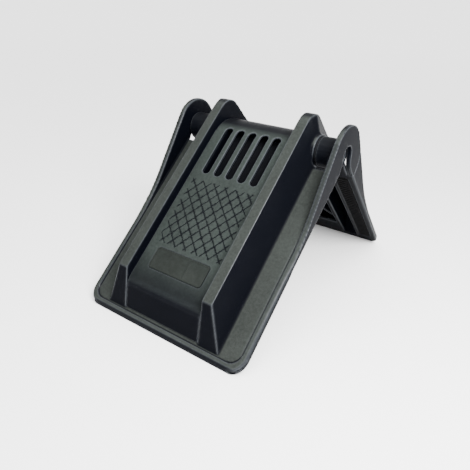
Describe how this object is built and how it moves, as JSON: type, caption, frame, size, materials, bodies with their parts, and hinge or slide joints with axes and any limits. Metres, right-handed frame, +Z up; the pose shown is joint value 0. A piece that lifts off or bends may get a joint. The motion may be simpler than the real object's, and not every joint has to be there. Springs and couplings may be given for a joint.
{
  "type": "ramp leveler",
  "caption": "V-shaped hinged plastic strap ramp that sits over the corner of a load, with a ribbed channel for the strap.",
  "frame": {"origin": "on the ground under the middle of the crest", "axes": "+Z up; X along the crest; the front leaf falls towards -Y, the rear leaf towards +Y"},
  "size_m": [0.18, 0.3186, 0.1807],
  "materials": {
    "shell_plastic": "moulded, fine spark grain on the wings, smooth on the ribs",
    "deck_plastic": "moulded, tread of fine crossed grooves",
    "label_plastic": "smooth blank plate",
    "pad_rubber": "ribbed soft rubber",
    "nylon": "smooth satin",
    "steel": "zinc plated"
  },
  "bodies": {
    "front": {"front_leaf": "shell_plastic", "front_deck": "deck_plastic", "front_label_plate": "label_plastic", "hinge_axle": "steel", "axle_clip_left": "steel", "axle_clip_right": "steel", "hinge_washer_left": "nylon", "hinge_washer_right": "nylon", "front_grip_pad_left": "pad_rubber", "front_grip_pad_right": "pad_rubber", "front_deck_screw_upper": "steel", "front_deck_screw_lower": "steel"},
    "rear": {"rear_leaf": "shell_plastic", "rear_deck": "deck_plastic", "rear_label_plate": "label_plastic", "barrel_bush_left": "nylon", "barrel_bush_right": "nylon", "rear_grip_pad_left": "pad_rubber", "rear_grip_pad_right": "pad_rubber", "rear_deck_screw_upper": "steel", "rear_deck_screw_lower": "steel"}
  },
  "joints": [
    {"name": "leaf_fold", "type": "hinge", "parent": "front", "child": "rear", "pos_m": [0, 0, 0.14793], "axis": [-1, 0, 0], "range_deg": [0, 75]}
  ]
}
